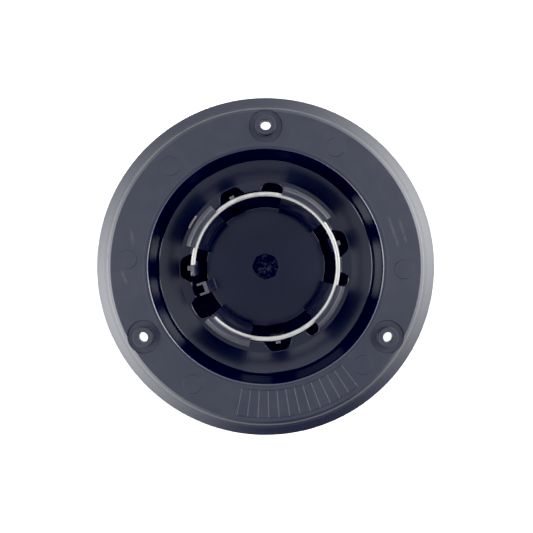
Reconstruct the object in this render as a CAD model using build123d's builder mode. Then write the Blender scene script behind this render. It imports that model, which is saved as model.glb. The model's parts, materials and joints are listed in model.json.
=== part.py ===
from build123d import *
from math import atan2, cos, radians, sin, tan
import os

# Snap-in wheel centre cap: one moulded body, and the split wire ring that lies in its snap legs.
# Sizes are in millimetres and angles in degrees. The wheel axis is Z. The front face lies on z = 0, and
# the back of the cap, with its snap legs, points up. Names that end in _z are heights above the front face.

# Rim and flange
cap_d = 170.0
flange_z = 32.0
wall = 3.0
rim_step_w = 1.0
rim_step_drop = 0.5
rim_land_w = 0.9
rim_bevel_w = 5.9
rim_bevel_drop = 3.0
rim_rounding = 0.8
rim_strips = 2
rim_chamfer = 1.0

# Bowl between the flange and the shelf
bowl_d = 116.6
bowl_depth = 16.0
bowl_draft = 5.4
bowl_lip_w = 2.6
bowl_lip_h = 0.4
bowl_lip_rounding = 2.0
bowl_lip_strips = 3
bowl_foot_chamfer = 0.8

# Shelf, trough and centre disc
shelf_z = 12.0
shelf_margin = 1.2
trough_gap = 1.95
floor_t = 2.5
disc_z = 10.0
disc_t = 3.0
seat_wall = 2.2
edge_chamfer = 0.4
shelf_chamfer = 0.7
gate_d = 13.6
gate_sides = 8
gate_depth = 0.7

# Snap legs, made for a wheel with this centre bore
bore_d = 78.1
neck_clear = 1.0
barb_catch = 0.8
barb_land = 0.7
barb_rise = 2.7
barb_undercut = 1.3
leg_z = 42.0
leg_top_w = 2.5
leg_foot_inset = 1.6
leg_foot_t = 3.1
groove_wall = 1.85
lip_t = 1.0
lip_cover = 0.8

# Wire ring, which lies on the ledges of the legs and on the fingers
wire_d = 2.2
wire_sides = 8
ring_clear = 0.1
groove_chamfer = 0.5
ledge_inset = 0.1

# Fingers under the wire ring
finger_t = 1.8
finger_shift = 0.6
finger_arc = 12.5
slot_w = 2.6
nub_arc = 3.5
nub_reach = 1.5
nub_h = 2.2
nub_drop = 0.3

# Forked post in the gap of the wire ring
post_w = 6.2
post_h = 26.0
post_lean = 1.5
post_inset = 2.0
prong_reach = 2.9
prong_t = 1.25

# Pockets in the shelf, around the legs and fingers. The rounding is a share of a pocket's top width.
pocket_reach = 4.8
side_pocket_reach = 4.2
pocket_rounding_share = 0.45
finger_pocket_mouth = 15.0
finger_pocket_top = 9.4
leg_pocket_mouth = 12.6
leg_pocket_top = 9.0
end_pocket_mouth = 7.2
end_pocket_top = 5.0

# Screw bosses
screw_count = 3
screw_pcd = 140.0
screw_start = 90.0
screw_hole_d = 5.2
boss_d = 10.0
boss_h = 3.0
relief_d = 16.4
relief_depth = 0.5

# Locating rib on the shelf
rib_arc = 9.5
rib_t = 1.5
rib_h = 1.1

# Layout around the axis, as offsets from the line that the cap is mirrored about
key_angle = 148.7
wide_leg_offset = 91.5
upper_leg_arc = 40.0
lower_leg_arc = 36.0
narrow_leg_arc = 33.4
near_finger_offset = 32.6
far_finger_offset = 130.8
leg_pocket_offset = 63.8
end_pocket_offset = 158.2
post_offset = 50.6
ring_end_offset = 30.3
ring_start_offset = 75.9

legs = [
    (0.0, narrow_leg_arc),
    (180.0, narrow_leg_arc),
    (wide_leg_offset, lower_leg_arc),
    (-wide_leg_offset, upper_leg_arc),
]
finger_offsets = [
    near_finger_offset,
    -near_finger_offset,
    far_finger_offset,
    -far_finger_offset,
]

# Radii that follow from the sizes above
rim_r = cap_d / 2
bevel_r = rim_r - rim_bevel_w
bowl_r = bowl_d / 2
foot_z = flange_z - bowl_depth
foot_r = bowl_r - bowl_depth * tan(radians(bowl_draft))
neck_r = bore_d / 2 - neck_clear
barb_r = bore_d / 2 + barb_catch
wire_r = wire_d / 2
groove_r = neck_r - groove_wall
ring_r = groove_r - ring_clear - wire_r
ledge_z = leg_z - lip_t - ring_clear - wire_d
ring_z = ledge_z + wire_r
lip_r = ring_r + wire_r - lip_cover
finger_in_r = ring_r + finger_shift - finger_t / 2
finger_out_r = finger_in_r + finger_t
disc_r = finger_in_r - slot_w
leg_foot_r = disc_r - leg_foot_inset
trough_r = neck_r + trough_gap
pocket_r = trough_r + pocket_reach
side_pocket_r = trough_r + side_pocket_reach
shelf_r = pocket_r + shelf_margin
front_r = pocket_r + wall
seat_r = disc_r - seat_wall
root_z = floor_t / 2

# The front of the bowl runs parallel to its back, one wall away
bowl_slope = atan2(foot_z - shelf_z, foot_r - shelf_r)


def bowl_front_z(r):
    """Height of the bowl's front face at a radius."""
    return shelf_z - wall / cos(bowl_slope) + (r - shelf_r) * tan(bowl_slope)


def radial_plane(angle):
    """The plane through the axis at an angle, with its x outward and its y up."""
    turn = radians(angle)
    return Plane(origin=(0, 0, 0), x_dir=(cos(turn), sin(turn), 0), z_dir=(sin(turn), -cos(turn), 0))


def outward_plane(angle, height):
    """The level plane at a height, with its x outward at an angle."""
    turn = radians(angle)
    return Plane(origin=(0, 0, height), x_dir=(cos(turn), sin(turn), 0), z_dir=(0, 0, 1))


def outline(corners):
    """Points of a closed outline. A corner is a radius and a height. One with a chamfer also has its length
    and a rounded one has that length and the number of flat strips that make the rounding."""
    result = []
    for i, (r, z, *cut) in enumerate(corners):
        corner = Vector(r, z)
        if not cut:
            result.append(corner)
            continue
        length, strips = cut if len(cut) == 2 else (cut[0], 1)
        before = Vector(*corners[i - 1][:2])
        after = Vector(*corners[(i + 1) % len(corners)][:2])
        start = corner + (before - corner).normalized() * length
        end = corner + (after - corner).normalized() * length
        for step in range(strips + 1):
            share = step / strips
            result.append(start * (1 - share) ** 2 + corner * (2 * share * (1 - share)) + end * share**2)
    return result


# Half section of the cap, from the front seat round the rim to the back of the centre disc
bevel_slope = atan2(rim_bevel_drop, rim_bevel_w)
land_z = flange_z - rim_step_drop
front_bevel_r = bevel_r - (wall / cos(bevel_slope) + rim_step_drop - wall) / tan(bevel_slope)
rim_front_z = flange_z - wall - (rim_r - front_bevel_r) * tan(bevel_slope)
lip_z = flange_z + bowl_lip_h
lip_foot_r = bowl_r + bowl_lip_w
shell_corners = [
    (0, disc_z - disc_t),
    (seat_r, disc_z - disc_t),
    (seat_r, 0),
    (front_r, 0, rim_chamfer),
    (front_r, bowl_front_z(front_r)),
    (foot_r + wall, bowl_front_z(foot_r + wall)),
    (bowl_r + wall, flange_z - wall),
    (front_bevel_r, flange_z - wall),
    (rim_r, rim_front_z, rim_chamfer),
    (rim_r, land_z - rim_bevel_drop),
    (bevel_r, land_z, rim_rounding, rim_strips),
    (bevel_r - rim_land_w, land_z),
    (bevel_r - rim_land_w - rim_step_w, flange_z),
    (lip_foot_r + bowl_lip_h, flange_z),
    (lip_foot_r, lip_z),
    (bowl_r, lip_z, bowl_lip_rounding, bowl_lip_strips),
    (foot_r, foot_z, bowl_foot_chamfer),
    (shelf_r, shelf_z),
    (trough_r, shelf_z),
    (trough_r, floor_t),
    (disc_r, floor_t),
    (disc_r, disc_z, edge_chamfer),
    (0, disc_z),
]

# Half section of a snap leg, from its root up its outside, over the barb and down through the wire's groove
barb_tip_z = leg_z - barb_rise
barb_foot_z = barb_tip_z - barb_land
leg_corners = [
    (leg_foot_r, root_z),
    (leg_foot_r + leg_foot_t, root_z),
    (neck_r, barb_foot_z - barb_undercut),
    (barb_r, barb_foot_z),
    (barb_r, barb_tip_z),
    (lip_r + leg_top_w, leg_z, edge_chamfer),
    (lip_r, leg_z),
    (lip_r, leg_z - lip_t),
    (groove_r, leg_z - lip_t, groove_chamfer),
    (groove_r, ledge_z, groove_chamfer),
    (ring_r - wire_r + ledge_inset, ledge_z),
    (leg_foot_r, disc_z),
]

finger_corners = [
    (finger_in_r, root_z),
    (finger_out_r, root_z),
    (finger_out_r, ledge_z),
    (finger_in_r, ledge_z),
]

nub_corners = [
    (ring_r, ledge_z - nub_h),
    (finger_out_r, ledge_z - nub_h),
    (finger_out_r + nub_reach, ledge_z - nub_h / 2),
    (finger_out_r + nub_reach, ledge_z - nub_drop),
    (ring_r, ledge_z - nub_drop),
]

post_in_r = disc_r - post_inset
post_top_z = disc_z + post_h
post_corners = [
    (post_in_r - post_lean, disc_z - disc_t / 2),
    (disc_r, disc_z - disc_t / 2),
    (disc_r, root_z),
    (disc_r + prong_reach, root_z),
    (disc_r + prong_reach, post_top_z),
    (post_in_r, post_top_z),
    (post_in_r - post_lean, disc_z),
]

rib_corners = [
    (shelf_r - shelf_margin, shelf_z - rib_h),
    (shelf_r - shelf_margin + rib_t, shelf_z - rib_h),
    (shelf_r - shelf_margin + rib_t, shelf_z + rib_h / 2),
    (shelf_r - shelf_margin, shelf_z + rib_h),
]

pockets = [
    (near_finger_offset, finger_pocket_mouth, finger_pocket_top, pocket_r),
    (far_finger_offset, finger_pocket_mouth, finger_pocket_top, pocket_r),
    (leg_pocket_offset, leg_pocket_mouth, leg_pocket_top, side_pocket_r),
    (end_pocket_offset, end_pocket_mouth, end_pocket_top, side_pocket_r),
]

with BuildPart() as cap_body:
    # Flange, bowl, shelf, trough and disc
    with BuildSketch(Plane.XZ):
        with BuildLine():
            Polyline(*outline(shell_corners), close=True)
        make_face()
    revolve(axis=Axis.Z)

    # Pockets that give the legs and fingers room to bend, mirrored about the key line
    for offset, mouth, top, reach in pockets:
        rounding = top * pocket_rounding_share
        for side in (1, -1):
            with BuildSketch(outward_plane(key_angle + side * offset, floor_t)):
                with BuildLine():
                    FilletPolyline(
                        (trough_r - wall / 2, -mouth / 2),
                        (trough_r - wall / 2, mouth / 2),
                        (reach, top / 2),
                        (reach, -top / 2),
                        radius=[0, 0, rounding, rounding],
                        close=True,
                    )
                make_face()
            extrude(amount=flange_z - floor_t, mode=Mode.SUBTRACT)

    # Inner edge of the shelf, all round the trough and its pockets. The shelf is the one level face
    # between the heights of the disc and the flange.
    level_faces = cap_body.faces().filter_by(Axis.Z)
    shelf_top = level_faces.filter_by_position(Axis.Z, disc_z, flange_z, (False, False))
    chamfer(shelf_top[0].inner_wires().edges(), length=shelf_chamfer)

    # Snap legs, fingers and nubs
    for offset, arc in legs:
        with BuildSketch(radial_plane(key_angle + offset - arc / 2)):
            with BuildLine():
                Polyline(*outline(leg_corners), close=True)
            make_face()
        revolve(axis=Axis.Z, revolution_arc=arc)
    for offset in finger_offsets:
        for corners, arc in ((finger_corners, finger_arc), (nub_corners, nub_arc)):
            with BuildSketch(radial_plane(key_angle + offset - arc / 2)):
                with BuildLine():
                    Polyline(*outline(corners), close=True)
                make_face()
            revolve(axis=Axis.Z, revolution_arc=arc)

    # Forked post
    with BuildSketch(radial_plane(key_angle + post_offset)):
        with BuildLine():
            Polyline(*outline(post_corners), close=True)
        make_face()
    extrude(amount=post_w / 2, both=True)
    with BuildSketch(radial_plane(key_angle + post_offset)):
        with Locations((disc_r, floor_t)):
            Rectangle(prong_reach, post_top_z, align=(Align.MIN, Align.MIN))
    extrude(amount=post_w / 2 - prong_t, both=True, mode=Mode.SUBTRACT)

    # Locating rib
    with BuildSketch(radial_plane(key_angle - rib_arc / 2)):
        with BuildLine():
            Polyline(*outline(rib_corners), close=True)
        make_face()
    revolve(axis=Axis.Z, revolution_arc=rib_arc)

    # Screw bosses, each in a shallow round relief
    with BuildSketch(Plane.XY.offset(flange_z - relief_depth)):
        with PolarLocations(screw_pcd / 2, screw_count, start_angle=screw_start):
            Circle(relief_d / 2)
    extrude(amount=boss_h, mode=Mode.SUBTRACT)
    with BuildSketch(Plane.XY.offset(flange_z - relief_depth)):
        with PolarLocations(screw_pcd / 2, screw_count, start_angle=screw_start):
            Circle(boss_d / 2)
    extrude(amount=boss_h)
    with PolarLocations(screw_pcd / 2, screw_count, start_angle=screw_start):
        Hole(screw_hole_d / 2)

    # Gate recess in the middle of the disc
    with BuildSketch(Plane.XY.offset(disc_z)):
        RegularPolygon(gate_d / 2, gate_sides)
    extrude(amount=-gate_depth, mode=Mode.SUBTRACT)

with BuildPart() as retaining_ring:
    # The round wire has a section of flat sides, to keep its long bent face light
    with BuildSketch(radial_plane(key_angle + ring_start_offset)):
        with Locations((ring_r, ring_z)):
            RegularPolygon(wire_r, wire_sides, major_radius=False, rotation=180 / wire_sides)
    revolve(axis=Axis.Z, revolution_arc=360 - (ring_start_offset - ring_end_offset))

os.makedirs("parts", exist_ok=True)
cap_body.part.label = "cap_body"
export_step(cap_body.part, "parts/cap_body.step")
retaining_ring.part.label = "retaining_ring"
export_step(retaining_ring.part, "parts/retaining_ring.step")
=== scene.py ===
import bpy
import bmesh
import json
import math
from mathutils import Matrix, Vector, noise


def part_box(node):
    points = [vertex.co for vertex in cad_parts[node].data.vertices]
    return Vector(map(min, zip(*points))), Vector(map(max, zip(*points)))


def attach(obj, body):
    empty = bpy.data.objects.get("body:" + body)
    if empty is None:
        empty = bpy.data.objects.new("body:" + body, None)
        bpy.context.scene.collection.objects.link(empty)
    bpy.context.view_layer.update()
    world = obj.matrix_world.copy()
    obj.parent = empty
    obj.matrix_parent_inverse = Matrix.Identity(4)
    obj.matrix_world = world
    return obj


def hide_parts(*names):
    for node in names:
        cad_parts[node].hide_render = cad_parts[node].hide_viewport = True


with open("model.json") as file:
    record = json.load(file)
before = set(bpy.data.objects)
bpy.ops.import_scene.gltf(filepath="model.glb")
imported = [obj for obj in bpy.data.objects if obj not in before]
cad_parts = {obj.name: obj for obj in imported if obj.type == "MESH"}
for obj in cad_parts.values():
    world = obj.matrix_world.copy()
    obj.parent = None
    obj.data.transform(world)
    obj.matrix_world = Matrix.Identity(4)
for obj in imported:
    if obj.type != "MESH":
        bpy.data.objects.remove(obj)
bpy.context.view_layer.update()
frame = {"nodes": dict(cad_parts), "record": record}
body = frame["nodes"]["cap_body"]
mounts = {mount["name"]: mount for mount in frame["record"]["mounts"]}

# Places on the cap, in metres. Its axis is Z, and its back, with the snap legs, points up.
MM = 0.001
FLANGE_Z = mounts["flange_seat"]["pos_m"][2]
RIM_STEP_R = 77.2 * MM
RIM_EDGE_R = 78.85 * MM
LIP_R = 60.2 * MM
BOWL_R = 59.0 * MM
MOUTH_R = 58.8 * MM
WALL_R = 56.4 * MM
HUB_R = 41.5 * MM
HUB_Z = 17.0 * MM
HOLLOW_R = 45.5 * MM
HOLLOW_IN_R = 28.0 * MM
HOLLOW_LOW_Z = 1.6 * MM
DISC_Z = 10.0 * MM
GATE_R = 6.9 * MM
GATE_FLOOR_Z = 9.3 * MM
RING_R = 36.4 * MM
BARB_R = 37.3 * MM
FOOT_R = 30.4 * MM
FINGER_TOP_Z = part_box("retaining_ring")[0][2]
NUB_TOP_Z = FINGER_TOP_Z - 0.3 * MM
POST_TOP_Z = 36.0 * MM
RIB_R = 45.5 * MM
RIB_Z = 12.9 * MM

# Middle and half arc of each leg, finger and rib, in degrees. The finger that lies across the half turn is
# given from both of its sides.
LEGS = [(148.7, 16.7), (-31.3, 16.7), (-119.8, 18.0), (57.2, 20.0)]
FINGERS = [(middle, 6.4) for middle in (17.9, 116.1, 181.3, -178.7, -80.5)]
RIBS = [(148.7, 5.0)]


def link(name, mesh):
    """A new object in the scene."""
    piece = bpy.data.objects.new(name, mesh)
    bpy.context.scene.collection.objects.link(piece)
    return piece


def wear(piece, material):
    """Gives the piece this material alone."""
    piece.data.materials.clear()
    piece.data.materials.append(material)


def polar(radius, degrees, height=0.0):
    """A point from its distance to the axis and its direction."""
    turn = math.radians(degrees)
    return Vector((radius * math.cos(turn), radius * math.sin(turn), height))


class Graph:
    """A node tree that is written as nested calls."""

    def __init__(self, owner):
        owner.use_nodes = True
        self.tree = owner.node_tree
        self.tree.nodes.clear()

    def node(self, kind, inputs=None, **settings):
        made = self.tree.nodes.new(kind)
        for name, value in settings.items():
            setattr(made, name, value)
        for key, value in (inputs or {}).items():
            if isinstance(value, bpy.types.NodeSocket):
                self.tree.links.new(value, made.inputs[key])
            else:
                made.inputs[key].default_value = value
        return made

    def place(self):
        return self.node("ShaderNodeTexCoord").outputs["Object"]

    def split(self, vector):
        return self.node("ShaderNodeSeparateXYZ", {0: vector}).outputs

    def vector(self, *values):
        return self.node("ShaderNodeCombineXYZ", dict(enumerate(values))).outputs[0]

    def math(self, operation, *values):
        return self.node("ShaderNodeMath", dict(enumerate(values)), operation=operation).outputs[0]

    def add(self, *values):
        total = values[0]
        for value in values[1:]:
            total = self.math("ADD", total, value)
        return total

    def minus(self, first, second):
        return self.math("SUBTRACT", first, second)

    def times(self, *values):
        product = values[0]
        for value in values[1:]:
            product = self.math("MULTIPLY", product, value)
        return product

    def size(self, value):
        return self.math("ABSOLUTE", value)

    def near(self, value, middle, reach):
        """1 where value is within reach of middle."""
        return self.math("COMPARE", value, middle, reach)

    def ramp(self, value, start, end, low=0.0, high=1.0):
        """Smooth change from low to high while value goes from start to end."""
        inputs = {"Value": value, "From Min": start, "From Max": end, "To Min": low, "To Max": high}
        return self.node("ShaderNodeMapRange", inputs, interpolation_type="SMOOTHSTEP").outputs[0]

    def mix(self, factor, first, second):
        inputs = {"Factor": factor, "A": first, "B": second}
        return self.node("ShaderNodeMix", inputs, data_type="FLOAT").outputs["Result"]

    def mix_colour(self, factor, first, second):
        made = self.node("ShaderNodeMix", {"Factor": factor}, data_type="RGBA")
        for socket, value in ((made.inputs[6], first), (made.inputs[7], second)):
            if isinstance(value, bpy.types.NodeSocket):
                self.tree.links.new(value, socket)
            else:
                socket.default_value = (*value, 1)
        return made.outputs[2]

    def noise(self, place, size, detail=2.0):
        """Noise with patches of about this size."""
        inputs = {"Vector": place, "Scale": 1 / size, "Detail": detail}
        return self.node("ShaderNodeTexNoise", inputs).outputs[0]

    def surface(self, inputs):
        """Ends a material with its shader."""
        shader = self.node("ShaderNodeBsdfPrincipled", inputs)
        self.node("ShaderNodeOutputMaterial", {"Surface": shader.outputs[0]})


class Spot:
    """The place of a shaded point, whole and as numbers."""

    def __init__(self, g):
        self.place = g.place()
        self.x, self.y, self.z = g.split(self.place)
        self.r = g.math("SQRT", g.add(g.times(self.x, self.x), g.times(self.y, self.y)))
        self.angle = g.math("ARCTAN2", self.y, self.x)


# Zones of the body's finish. Each is a product of ramps along the distance from the axis (r) or the height
# (z), which go from 0 at the first place to 1 at the second.
ZONES = {
    "flange": [
        ("r", BOWL_R, LIP_R),
        ("z", FLANGE_Z - 1.5 * MM, FLANGE_Z - 1.0 * MM),
    ],
    "bevel": [
        ("r", RIM_STEP_R - 0.1 * MM, RIM_STEP_R + 0.1 * MM),
    ],
    "mouth": [
        ("r", MOUTH_R - 0.46 * MM, MOUTH_R - 0.44 * MM),
        ("r", MOUTH_R + 0.46 * MM, MOUTH_R + 0.44 * MM),
        ("z", FLANGE_Z - 0.7 * MM, FLANGE_Z - 0.5 * MM),
    ],
    "wall": [
        ("r", WALL_R, WALL_R + 0.5 * MM),
        ("r", LIP_R, BOWL_R),
        ("z", FLANGE_Z - 0.6 * MM, FLANGE_Z - 1.2 * MM),
    ],
    "legs": [
        ("r", HUB_R + 0.2 * MM, HUB_R),
        ("z", HUB_Z, HUB_Z + 10.0 * MM),
    ],
    "barbs": [
        ("r", BARB_R - 0.2 * MM, BARB_R + 0.2 * MM),
    ],
    "leg_insides": [
        ("r", RING_R, RING_R - 0.3 * MM),
        ("z", FINGER_TOP_Z - 0.5 * MM, FINGER_TOP_Z - 1.0 * MM),
        ("z", DISC_Z + 0.3 * MM, DISC_Z + 0.8 * MM),
    ],
    "leg_feet": [
        ("r", FOOT_R - 1.6 * MM, FOOT_R),
        ("r", FOOT_R + 3.0 * MM, FOOT_R + 2.5 * MM),
        ("z", DISC_Z - 0.31 * MM, DISC_Z - 0.29 * MM),
        ("z", DISC_Z + 0.31 * MM, DISC_Z + 0.29 * MM),
    ],
    "hollow": [
        ("r", HOLLOW_R, HOLLOW_R - 0.5 * MM),
        ("r", HOLLOW_IN_R, HOLLOW_IN_R + 0.5 * MM),
        ("z", DISC_Z - 0.5 * MM, DISC_Z - 1.5 * MM),
        ("z", HOLLOW_LOW_Z, HOLLOW_LOW_Z + 0.6 * MM),
    ],
    "gate": [
        ("r", 1.1 * GATE_R, 1.09 * GATE_R),
        ("z", DISC_Z - 0.02 * MM, DISC_Z - 0.1 * MM),
        ("z", DISC_Z - 1.6 * MM, DISC_Z - 1.2 * MM),
    ],
}

# Colours, from the new plastic to the most worn, which also serves as a painted highlight, and last a pale
# pink that is painted as light
BLACK = (0.0035, 0.0045, 0.012)
SCUFFED = (0.016, 0.0165, 0.022)
SCRATCHED = (0.03, 0.03, 0.033)
# Pale grey: worn plastic on the tops, and a painted highlight on the barbs' slopes and the rim's edge
PALE_WEAR_AND_HIGHLIGHT = (0.04, 0.04, 0.043)
# Pale pink, painted on the rib's top as a patch of light
RIB_LIGHT_PATCH = (0.26, 0.225, 0.22)

# Roughness. A spread is the most that noise adds.
GLOSS = 0.2
BEVELLED = 0.3
SATIN = 0.27
SATIN_SPREAD = 0.4
TEXTURED = 0.47
TEXTURED_SPREAD = 0.1
DULL = 0.6

# Specular level
SHINE = 0.5
TEXTURED_SHINE = 0.45
WALL_SHINE = 0.2
MOUTH_SHINE = 0.9
LEG_TOP_SHINE = 0.36
LEG_SHINE = 0.15
HOLLOW_SHINE = 0.1

# Sizes of the noise. Stripes run around the axis, so their noise is stretched that way.
GRAIN = 0.7 * MM
SCUFF_GRAIN = 1.2 * MM
TORN_GRAIN = 1.7 * MM
CLOUD = 9.0 * MM
STRIPE = 8.0 * MM
STRIPE_AROUND = 0.03
STRIPE_ACROSS = 14.0

# Texture of the flange
BUMP_LIFT = 0.05
BUMP_DISTANCE = 0.5 * MM
BUMP_STRENGTH = 0.6

# Pale scuffs on the flange: where each starts and ends, and its width, in millimetres
SCUFFS = [
    ((60.8, 25.6), (66.4, 9.1), 1.1),
    ((66.2, 24.6), (70.5, 10.7), 1.0),
    ((-67.2, 19.0), (-65.3, 9.0), 1.3),
    ((-72.0, -1.2), (-68.7, -9.8), 1.1),
]
SCUFF_END = 3.0 * MM
SCUFF_STRENGTH = 0.6

# How far the masks of single features reach
TOP_REACH = 0.05 * MM
HUB_FADE = 0.2 * MM
RIB_REACH_R = 0.6 * MM
RIB_REACH_Z = 0.5 * MM
RIM_EDGE_FULL = 0.25 * MM
RIM_EDGE_FADE = 0.55 * MM


def zone_mask(g, spot, ramps):
    """1 inside a zone."""
    places = {"r": spot.r, "z": spot.z}
    return g.times(*[g.ramp(places[axis], start, end) for axis, start, end in ramps])


def arc_mask(g, spot, arcs):
    """1 in the directions of some arcs."""
    return g.add(*[g.near(spot.angle, math.radians(middle), math.radians(half)) for middle, half in arcs])


def scuff_mask(g, spot):
    """1 along the middle of each scuff, broken up by noise."""
    total = 0.0
    for start, end, width in SCUFFS:
        a, b = Vector(start) * MM, Vector(end) * MM
        length = (b - a).length
        along = (b - a).normalized()
        dx, dy = g.minus(spot.x, a.x), g.minus(spot.y, a.y)
        s = g.add(g.times(dx, along.x), g.times(dy, along.y))
        t = g.minus(g.times(dx, along.y), g.times(dy, along.x))
        inside = g.times(g.ramp(s, 0.0, SCUFF_END), g.ramp(s, length, length - SCUFF_END))
        total = g.add(total, g.times(inside, g.ramp(g.size(t), width * MM, 0.0)))
    return g.times(total, g.ramp(g.noise(spot.place, SCUFF_GRAIN), 0.25, 0.55))


def rubbed_mask(g, spot):
    """1 on the tops that have been rubbed pale: fingers, nubs and post."""
    tops = g.add(g.near(spot.z, FINGER_TOP_Z, TOP_REACH), g.near(spot.z, NUB_TOP_Z, TOP_REACH))
    fingers = g.times(arc_mask(g, spot, FINGERS), tops)
    post = g.near(spot.z, POST_TOP_Z, TOP_REACH)
    return g.times(g.add(fingers, post), g.ramp(spot.r, HUB_R, HUB_R - HUB_FADE))


def rib_light_mask(g, spot):
    """1 on the top of the locating rib, where a pale patch is painted as a patch of light."""
    top = g.times(g.near(spot.z, RIB_Z, RIB_REACH_Z), g.near(spot.r, RIB_R, RIB_REACH_R))
    return g.times(arc_mask(g, spot, RIBS), top)


def rim_highlight_mask(g, spot):
    """1 along the edge of the rim's bevel, where a pale line is painted as a highlight."""
    return g.ramp(g.size(g.minus(spot.r, RIM_EDGE_R)), RIM_EDGE_FADE, RIM_EDGE_FULL)


def body_colour(g, spot, zone, grain, stripes):
    """Black under layers of wear, painted highlights and painted light. A layer is where it lies and how
    strongly, and its colour.
    """
    flange, legs = zone["flange"], zone["legs"]
    cloud = g.noise(spot.place, CLOUD)
    layers = [
        (g.times(flange, g.ramp(cloud, 0.35, 0.75, 0.0, 0.25)), SCUFFED),
        (g.times(legs, g.ramp(stripes, 0.45, 0.62, 0.0, 0.45)), SCRATCHED),
        # A pale band is painted on the barbs' slopes as a highlight, broken up by the real striations
        (g.times(legs, zone["barbs"], g.ramp(stripes, 0.35, 0.7, 0.3, 0.8)), PALE_WEAR_AND_HIGHLIGHT),
        (g.times(flange, scuff_mask(g, spot), SCUFF_STRENGTH), SCRATCHED),
        # A pale line is painted along the rim's edge as a highlight, broken up by cloud
        (g.times(flange, rim_highlight_mask(g, spot), g.ramp(cloud, 0.2, 0.5, 0.5, 1.0)), PALE_WEAR_AND_HIGHLIGHT),
        (g.times(rubbed_mask(g, spot), g.ramp(grain, 0.2, 0.6, 0.6, 1.0)), PALE_WEAR_AND_HIGHLIGHT),
        # The rib's top is painted pale pink as a patch of light
        (rib_light_mask(g, spot), RIB_LIGHT_PATCH),
    ]
    colour = BLACK
    for strength, tint in layers:
        colour = g.mix_colour(strength, colour, tint)
    return colour


def body_roughness(g, zone, grain, stripes):
    """Glossy apart from the flange, its bevel, the legs, and the gate and hollow."""
    levels = [
        (zone["flange"], g.add(TEXTURED, g.times(grain, TEXTURED_SPREAD))),
        (g.times(zone["flange"], zone["bevel"]), BEVELLED),
        (zone["legs"], g.add(SATIN, g.times(stripes, SATIN_SPREAD))),
        (g.math("MAXIMUM", zone["gate"], zone["hollow"]), DULL),
    ]
    rough = GLOSS
    for mask, level in levels:
        rough = g.mix(mask, rough, level)
    return rough


def body_shine(g, spot, zone):
    """Specular level, lower where the cap shades itself and higher along the mouth of the bowl."""
    torn = g.noise(spot.place, TORN_GRAIN, 3.0)
    levels = [
        (g.times(zone["flange"], g.minus(1.0, zone["bevel"])), TEXTURED_SHINE),
        (zone["wall"], WALL_SHINE),
        (zone["mouth"], MOUTH_SHINE),
        (zone["legs"], LEG_TOP_SHINE),
        (zone["leg_insides"], LEG_SHINE),
        (g.times(zone["leg_feet"], arc_mask(g, spot, LEGS)), LEG_SHINE),
        (zone["gate"], g.ramp(torn, 0.42, 0.7, 0.0, 0.3)),
        (zone["hollow"], HOLLOW_SHINE),
    ]
    shine = SHINE
    for mask, level in levels:
        shine = g.mix(mask, shine, level)
    return shine


def body_material():
    """Black plastic: glossy in the bowl, textured on the flange, satin on the legs and rough at the gate."""
    material = bpy.data.materials.new("black_plastic")
    g = Graph(material)
    spot = Spot(g)
    zone = {name: zone_mask(g, spot, ramps) for name, ramps in ZONES.items()}
    grain = g.noise(spot.place, GRAIN, 3.0)
    turned = g.vector(g.times(spot.angle, STRIPE_AROUND), g.times(spot.r, STRIPE_ACROSS), spot.z)
    stripes = g.noise(turned, STRIPE, 4.0)
    lift = g.times(grain, zone["flange"], BUMP_LIFT)
    bump = g.node("ShaderNodeBump", {"Height": lift, "Distance": BUMP_DISTANCE, "Strength": BUMP_STRENGTH})
    g.surface({
        "Base Color": body_colour(g, spot, zone, grain, stripes),
        "Roughness": body_roughness(g, zone, grain, stripes),
        "Specular IOR Level": body_shine(g, spot, zone),
        "Normal": bump.outputs[0],
    })
    return material


WIRE_DARK = (0.225, 0.222, 0.21)
WIRE_PALE = (0.285, 0.281, 0.267)
WIRE_METALLIC = 0.5
DRAWN_STRETCH = 400.0
DRAWN_SIZE = 1 / 6


def wire_material():
    """Drawn wire with a dull plating."""
    material = bpy.data.materials.new("drawn_wire")
    g = Graph(material)
    x, y, z = g.split(g.place())
    along = g.vector(g.math("ARCTAN2", y, x), g.times(z, DRAWN_STRETCH))
    drawn = g.noise(along, DRAWN_SIZE, 3.0)
    g.surface({
        "Base Color": g.mix_colour(g.ramp(drawn, 0.35, 0.7), WIRE_DARK, WIRE_PALE),
        "Metallic": WIRE_METALLIC,
        "Roughness": g.ramp(drawn, 0.3, 0.7, 0.45, 0.6),
    })
    return material


plastic = body_material()
wire_metal = wire_material()

# The moulded body: the CAD mesh with its edges rounded, and with the step of the rim, the lip of the bowl
# and the gate recess moved by a fraction of a millimetre
EDGE_ANGLE = math.radians(20)
EDGE_ROUNDING = 0.4 * MM
USUAL_SHARE = 0.6
ROUNDING_STEPS = 3
FACE_WEIGHT = 60
MERGE = 0.002 * MM

# Lift of the rim's back at some radii, in millimetres
RIM_LIFTS = [(77.2, 0.0), (78.2, 0.1), (79.1, -0.09), (79.8, -0.14), (82.0, 0.0)]
BACK_Z = FLANGE_Z - 1.0 * MM
LIP_IN_R = HUB_R + 10.0 * MM
LIP_OUT_R = 62.0 * MM
LIP_SHARE = 0.25
GATE_REACH = 1.0 * MM
GATE_SCALE = 1.07

# Where edges lie too close to be rounded: inner and outer radius, low and high end, in millimetres
CROWDED = [
    (31.0, 46.5, 0.0, 9.6),
    (39.5, 41.6, 10.4, 11.6),
    (45.4, 47.0, 10.5, 13.5),
    (34.0, 37.6, 36.9, 41.4),
    (60.0, 62.5, 31.9, 33.0),
    (66.0, 69.5, 28.5, 29.4),
]
BOSSES = [polar(70.0 * MM, degrees).xy for degrees in (90.0, 210.0, 330.0)]
BOSS_REACH = 10.0 * MM
BOSS_RIM_R = RIM_STEP_R - 0.9 * MM


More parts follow.
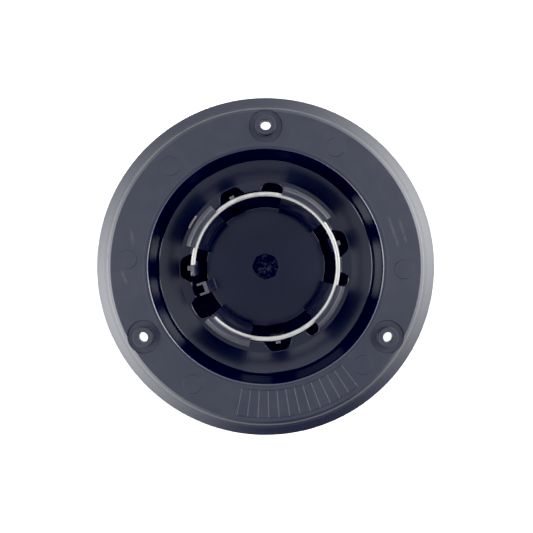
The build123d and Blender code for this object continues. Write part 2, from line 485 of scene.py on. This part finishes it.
def rim_lift(r):
    """Lift of the rim's back at a radius."""
    for (r0, lift0), (r1, lift1) in zip(RIM_LIFTS, RIM_LIFTS[1:]):
        if r0 * MM < r < r1 * MM:
            share = (r / MM - r0) / (r1 - r0)
            return (lift0 + (lift1 - lift0) * share) * MM
    return 0.0


def touched_up(place):
    """The place of a point of the CAD mesh in the visible one."""
    x, y, z = place
    r = math.hypot(x, y)
    if z > BACK_Z:
        z += rim_lift(r)
    if z > FLANGE_Z and LIP_IN_R < r < LIP_OUT_R:
        z = FLANGE_Z + (z - FLANGE_Z) * LIP_SHARE
    if r < GATE_R and abs(z - DISC_Z) < GATE_REACH:
        x, y = x * GATE_SCALE, y * GATE_SCALE
    return Vector((x, y, z))


def crowded(place):
    """True in a crowded zone, and where a screw's relief meets the rim."""
    r = place.xy.length
    for in_r, out_r, low, high in CROWDED:
        if in_r * MM < r < out_r * MM and low * MM < place.z < high * MM:
            return True
    beside_boss = min((place.xy - boss).length for boss in BOSSES) < BOSS_REACH
    return beside_boss and r > BOSS_RIM_R


def rounding_share(place):
    """How much of the rounding an edge gets: all around the bowl's mouth, and none in a crowded zone."""
    if crowded(place):
        return 0.0
    at_mouth = place.z > BACK_Z and WALL_R < place.xy.length < LIP_R
    return 1.0 if at_mouth else USUAL_SHARE


def touched_up_mesh(name):
    """The body's mesh after the touch-ups, with its share of the rounding on each sharp edge."""
    mesh = bmesh.new()
    mesh.from_mesh(body.data)
    bmesh.ops.remove_doubles(mesh, verts=mesh.verts, dist=MERGE)
    for corner in mesh.verts:
        corner.co = touched_up(corner.co)
    mesh.normal_update()
    rounding = mesh.edges.layers.float.new("bevel_weight_edge")
    for edge in mesh.edges:
        if edge.calc_face_angle(0.0) > EDGE_ANGLE:
            middle = (edge.verts[0].co + edge.verts[1].co) / 2
            edge[rounding] = rounding_share(middle)
            edge.smooth = edge[rounding] > 0
    for face in mesh.faces:
        face.smooth = True
    data = bpy.data.meshes.new(name)
    mesh.to_mesh(data)
    mesh.free()
    return data


def moulded_cap():
    """The body with rounded edges, and with normals that keep its flat faces flat."""
    piece = link("moulded_cap", touched_up_mesh("moulded_cap"))
    wear(piece, plastic)
    bevel = piece.modifiers.new("rounded_edges", "BEVEL")
    bevel.width = EDGE_ROUNDING
    bevel.segments = ROUNDING_STEPS
    bevel.limit_method = "WEIGHT"
    bevel.use_clamp_overlap = False
    normals = piece.modifiers.new("flat_faces", "WEIGHTED_NORMAL")
    normals.mode = "FACE_AREA"
    normals.weight = FACE_WEIGHT
    normals.keep_sharp = True
    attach(piece, "root")
    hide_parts("cap_body")


moulded_cap()


def tube(mesh, rings):
    """Sides between rings of points, and a face at each end."""
    for first, second in zip(rings, rings[1:]):
        for i in range(len(first)):
            j = (i + 1) % len(first)
            mesh.faces.new((first[i], second[i], second[j], first[j]))
    mesh.faces.new(rings[0])
    mesh.faces.new(reversed(rings[-1]))


def outward(name, mesh):
    """The finished mesh, with its faces turned outward."""
    bmesh.ops.recalc_face_normals(mesh, faces=mesh.faces)
    data = bpy.data.meshes.new(name)
    mesh.to_mesh(data)
    mesh.free()
    return data


# Retaining wire: round, with blunt ends, in the place of the CAD ring. Its start and span are in degrees.
WIRE_START = 224.6
WIRE_SPAN = 314.4
WIRE_SIDES = 20
WIRE_STEPS = 180
END_ROUNDING = 0.25 * MM


def wire_stations(ring_r, wire_r):
    """Direction and radius of each section. The first and last are smaller, which blunts the ends."""
    blunt = math.degrees(END_ROUNDING / ring_r)
    stops = [WIRE_START + WIRE_SPAN * i / WIRE_STEPS for i in range(WIRE_STEPS + 1)]
    stations = [(stops[0], wire_r - END_ROUNDING), (stops[0] + blunt, wire_r)]
    stations += [(stop, wire_r) for stop in stops[1:-1]]
    stations += [(stops[-1] - blunt, wire_r), (stops[-1], wire_r - END_ROUNDING)]
    return stations


def retaining_wire():
    """A round wire along the middle line of the CAD ring."""
    low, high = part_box("retaining_ring")
    wire_r = (high[2] - low[2]) / 2
    ring_r = high[1] - wire_r
    ring_z = low[2] + wire_r
    mesh = bmesh.new()
    rings = []
    for degrees, section_r in wire_stations(ring_r, wire_r):
        points = []
        for side in range(WIRE_SIDES):
            turn = 2 * math.pi * side / WIRE_SIDES
            place = polar(ring_r + section_r * math.cos(turn), degrees, ring_z + section_r * math.sin(turn))
            points.append(mesh.verts.new(place))
        rings.append(points)
    tube(mesh, rings)
    data = outward("retaining_wire", mesh)
    data.shade_smooth()
    piece = link("retaining_wire", data)
    wear(piece, wire_metal)
    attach(piece, "root")
    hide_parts("retaining_ring")


retaining_wire()

# Low marks of the mould. Their undersides are sunk by this much.
SINK = 0.05 * MM


def pad(mesh, outline, inset_outline, height):
    """A low flat pad on the flange, with sloping sides."""
    foot = [mesh.verts.new((p.x, p.y, FLANGE_Z - SINK)) for p in outline]
    top = [mesh.verts.new((p.x, p.y, FLANGE_Z + height)) for p in inset_outline]
    for i in range(len(foot)):
        j = (i + 1) % len(foot)
        mesh.faces.new((foot[i], foot[j], top[j], top[i]))
    mesh.faces.new(top)
    mesh.faces.new(reversed(foot))


def finish_marks(name, mesh, material):
    """The marks as a piece of the body."""
    piece = link(name, outward(name, mesh))
    wear(piece, material)
    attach(piece, "root")


EJECTOR_D = 9.9 * MM
EJECTOR_CIRCLE_R = 68.9 * MM
EJECTOR_ANGLES = (59.5, 133.6, 177.0, 238.2, 314.7, 358.8)
EJECTOR_H = 0.14 * MM
EJECTOR_SLOPE = 0.35 * MM
EJECTOR_SIDES = 48
EJECTOR_LINE = 0.01 * MM
EJECTOR_LINE_SHINE = 0.2


def pin_material():
    """The flange's plastic, with the line where the pin met the mould left dull."""
    material = bpy.data.materials.new("pin_mark_plastic")
    g = Graph(material)
    place = g.place()
    height = g.split(place)[2]
    cloud = g.noise(place, CLOUD)
    grain = g.noise(place, GRAIN, 3.0)
    top = FLANGE_Z + EJECTOR_H
    g.surface({
        "Base Color": g.mix_colour(g.ramp(cloud, 0.35, 0.75, 0.0, 0.25), BLACK, SCUFFED),
        "Roughness": g.add(TEXTURED, g.times(grain, TEXTURED_SPREAD)),
        "Specular IOR Level": g.ramp(height, top - EJECTOR_LINE, top, EJECTOR_LINE_SHINE, TEXTURED_SHINE),
    })
    return material


def ejector_marks():
    """Round marks that the ejector pins leave."""
    mesh = bmesh.new()
    turns = [360 * i / EJECTOR_SIDES for i in range(EJECTOR_SIDES)]
    for degrees in EJECTOR_ANGLES:
        middle = polar(EJECTOR_CIRCLE_R, degrees)
        foot = [middle + polar(EJECTOR_D / 2, turn) for turn in turns]
        top = [middle + polar(EJECTOR_D / 2 - EJECTOR_SLOPE, turn) for turn in turns]
        pad(mesh, foot, top, EJECTOR_H)
    finish_marks("ejector_marks", mesh, pin_material())


GRID_START = 259.1
GRID_STEP = 4.03
GRID_BARS = 13
GRID_IN_R = 61.7 * MM
GRID_OUT_R = 75.3 * MM
GRID_H = 0.2 * MM
GRID_W = 0.66 * MM
GRID_ARC_W = 0.7 * GRID_W
GRID_CREST = 0.16
GRID_ARC_STEPS = 52


def bar(mesh, start, end, width):
    """A straight raised bar with a narrow crest."""
    side = (end - start).normalized().cross(Vector((0, 0, 1))) * width / 2
    crest = side * GRID_CREST
    foot = [start - side, end - side, end + side, start + side]
    top = [start - crest, end - crest, end + crest, start + crest]
    pad(mesh, foot, top, GRID_H)


def moulded_grid():
    """A plain grid of raised bars, bare of any marks."""
    mesh = bmesh.new()
    for i in range(GRID_BARS):
        degrees = GRID_START + GRID_STEP * i
        bar(mesh, polar(GRID_IN_R, degrees), polar(GRID_OUT_R, degrees), GRID_W)
    span = GRID_STEP * (GRID_BARS - 1)
    stops = [GRID_START + span * i / GRID_ARC_STEPS for i in range(GRID_ARC_STEPS + 1)]
    for radius in (GRID_IN_R, GRID_OUT_R):
        for first, second in zip(stops, stops[1:]):
            bar(mesh, polar(radius, first), polar(radius, second), GRID_ARC_W)
    finish_marks("moulded_grid", mesh, plastic)


SCAR_R = 6.0 * MM
SCAR_H = 0.55 * MM
SCAR_GRAIN = 1.5 * MM
SCAR_FINENESS = 2.3
SCAR_FINE_SHARE = 0.5
SCAR_MEAN = 0.45
SCAR_SPREAD = 0.6
SCAR_FADE_RINGS = 2
SCAR_RINGS = 14
SCAR_SIDES = 56


def scar_height(place):
    """Height of the torn face, as a share of its greatest."""
    coarse = noise.noise(place / SCAR_GRAIN)
    fine = noise.noise(place * SCAR_FINENESS / SCAR_GRAIN)
    return min(1.0, max(0.0, SCAR_MEAN + SCAR_SPREAD * (coarse + SCAR_FINE_SHARE * fine)))


def gate_scar():
    """The torn face that is left where the sprue was broken off."""
    mesh = bmesh.new()
    rings = []
    for ring_number in range(1, SCAR_RINGS + 1):
        fade = min(1.0, (SCAR_RINGS - ring_number) / SCAR_FADE_RINGS)
        points = []
        for side in range(SCAR_SIDES):
            place = polar(SCAR_R * ring_number / SCAR_RINGS, 360 * side / SCAR_SIDES)
            height = GATE_FLOOR_Z - SINK + fade * SCAR_H * scar_height(place)
            points.append(mesh.verts.new((place.x, place.y, height)))
        rings.append(points)
    tube(mesh, rings)
    finish_marks("gate_scar", mesh, plastic)


ejector_marks()
moulded_grid()
gate_scar()

# Floor
FLOOR_HALF = 3.0
FLOOR_CLOUD = 0.4
FLOOR_GREY = (0.78, 0.78, 0.78)
FLOOR_WHITE = (0.82, 0.82, 0.82)
FLOOR_ROUGHNESS = 0.8


def floor_material():
    """White table top with a faint cloud in it."""
    material = bpy.data.materials.new("pale_floor")
    g = Graph(material)
    colour = g.mix_colour(g.noise(g.place(), FLOOR_CLOUD), FLOOR_GREY, FLOOR_WHITE)
    g.surface({"Base Color": colour, "Roughness": FLOOR_ROUGHNESS})
    return material


floor_mesh = bpy.data.meshes.new("floor")
corners = [(-FLOOR_HALF, -FLOOR_HALF, 0), (FLOOR_HALF, -FLOOR_HALF, 0),
           (FLOOR_HALF, FLOOR_HALF, 0), (-FLOOR_HALF, FLOOR_HALF, 0)]
floor_mesh.from_pydata(corners, [], [(0, 1, 2, 3)])
floor = link("floor", floor_mesh)
wear(floor, floor_material())

# Light: a room with long low windows on two sides, and a dim spot overhead
WINDOW_TURN = 15.0
WINDOW_LIGHT = 7.8
WINDOW_FOCUS = 3.3
ROOM_LIGHT = 0.35
ROOM_SKEW = 0.35
CEILING_SKEW = 0.46

# Keeps the divisions clear of zero straight overhead
LEAST_SQUARE = 0.001

# Ramps over the height of a direction, which is the sine of its elevation
WINDOW_END = (0.78, 0.6)
WINDOW_RISE = (-0.05, 0.6, 0.6, 1.35)
CEILING_RISE = (0.5, 0.85, 0.6, 1.08)
DIM_SPOT = (0.989, 0.9955, 0.0, -0.73)
COLOUR_CHANGE = (0.75, 0.95)
LOW_COLOUR = (0.97, 0.985, 1.0)
HIGH_COLOUR = (0.93, 0.97, 1.1)


def window_light(g, dx, dy, dz):
    """Windows to both sides, and between them a little light that is stronger towards +Y."""
    across = polar(1.0, WINDOW_TURN)
    square = g.add(g.times(dx, dx), g.times(dy, dy))
    flat = g.math("SQRT", g.math("MAXIMUM", square, LEAST_SQUARE))
    level = g.add(g.times(dx, across.x), g.times(dy, across.y))
    facing = g.math("DIVIDE", g.size(level), flat)
    windows = g.times(g.math("POWER", facing, WINDOW_FOCUS), WINDOW_LIGHT)
    between = g.add(ROOM_LIGHT, g.times(g.math("DIVIDE", dy, flat), ROOM_SKEW))
    return g.times(g.add(windows, between), g.ramp(dz, *WINDOW_END), g.ramp(dz, *WINDOW_RISE))


def ceiling_light(g, dy, dz):
    """The ceiling, dim straight overhead and stronger towards +Y."""
    ceiling = g.add(g.ramp(dz, *CEILING_RISE), g.ramp(dz, *DIM_SPOT))
    return g.times(ceiling, g.add(1.0, g.times(dy, CEILING_SKEW)))


def room_light():
    """The room as the world's background."""
    world = bpy.data.worlds.new("room")
    bpy.context.scene.world = world
    g = Graph(world)
    dx, dy, dz = g.split(g.node("ShaderNodeTexCoord").outputs["Generated"])
    strength = g.add(window_light(g, dx, dy, dz), ceiling_light(g, dy, dz))
    colour = g.mix_colour(g.ramp(dz, *COLOUR_CHANGE), LOW_COLOUR, HIGH_COLOUR)
    background = g.node("ShaderNodeBackground", {"Color": colour, "Strength": strength})
    g.node("ShaderNodeOutputWorld", {"Surface": background.outputs[0]})


room_light()

# Camera, as far from the cap and with the same field as the photograph's
IMAGE = 533
FOCAL_PX = 556.9
CENTRE_PX = (265.6, 266.5)
EYE = 309.0 * MM
SENSOR = 36
NEAREST = 10.0 * MM
camera = bpy.data.objects.new("camera", bpy.data.cameras.new("camera"))
camera.data.sensor_width = SENSOR
camera.data.lens = FOCAL_PX * SENSOR / IMAGE
camera.data.shift_x = (IMAGE / 2 - CENTRE_PX[0]) / IMAGE
camera.data.shift_y = -(IMAGE / 2 - CENTRE_PX[1]) / IMAGE
camera.data.clip_start = NEAREST
camera.location = (0, 0, EYE)
bpy.context.scene.collection.objects.link(camera)
bpy.context.scene.camera = camera

# The photograph's darkest tones are cut to black
BLACK_LEVEL = (0.009, 0.009, 0.004)
look = bpy.context.scene.view_settings
look.view_transform = "Standard"
look.use_curve_mapping = True
look.curve_mapping.black_level = BLACK_LEVEL
look.curve_mapping.update()
